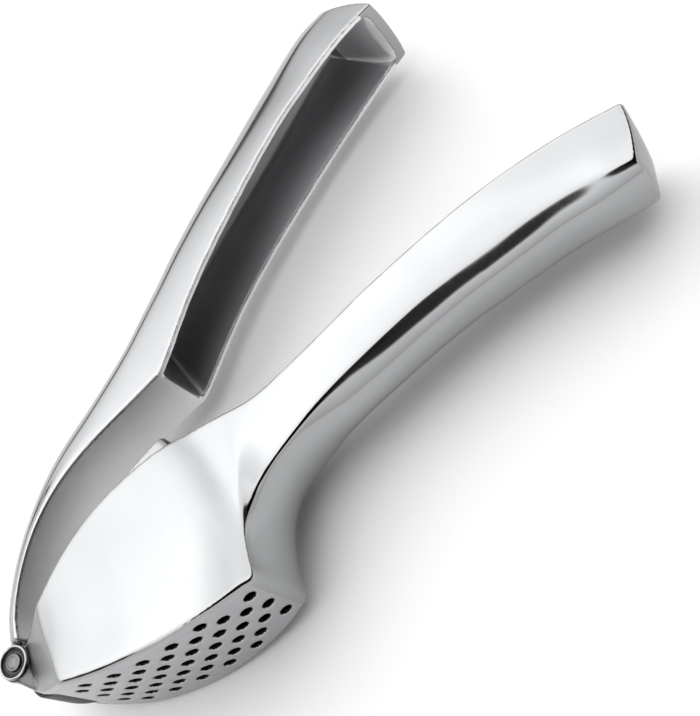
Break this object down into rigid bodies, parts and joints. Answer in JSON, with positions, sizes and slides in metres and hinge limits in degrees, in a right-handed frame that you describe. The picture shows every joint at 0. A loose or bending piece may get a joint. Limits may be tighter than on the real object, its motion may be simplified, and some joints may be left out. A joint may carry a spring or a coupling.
{
  "type": "garlic press",
  "caption": "Hinged metal garlic press: perforated hopper with a channel handle, a curved lever arm and a press block that swings on the same pin.",
  "frame": {"origin": "centre of the lying press's footprint box, at the level of the flat hopper cheek it lies on", "axes": "+Z along the hinge axis and up, +X from the hinge towards the end of the hopper's handle, +Y from the hopper towards the lever's tip"},
  "size_m": [0.1522, 0.1556, 0.0336],
  "materials": {
    "casting": "mirror polished",
    "block": "satin",
    "pin": "polished"
  },
  "bodies": {
    "hopper": {"hopper_body": "casting", "hinge_pin": "pin", "pin_ferrules": "pin"},
    "lever_arm": {"lever": "casting"},
    "block": {"press_block": "block"}
  },
  "joints": [
    {"name": "lever_hinge", "type": "hinge", "parent": "hopper", "child": "lever_arm", "pos_m": [-0.06884, -0.07028, 0.0168], "axis": [0, 0, 1], "range_deg": [-17, 115]},
    {"name": "block_hinge", "type": "hinge", "parent": "hopper", "child": "block", "pos_m": [-0.06884, -0.07028, 0.0168], "axis": [0, 0, 1], "range_deg": [-3.4, 23]}
  ],
  "couplings": [
    {"joint": "block_hinge", "follows": "lever_hinge", "ratio": 0.194}
  ]
}
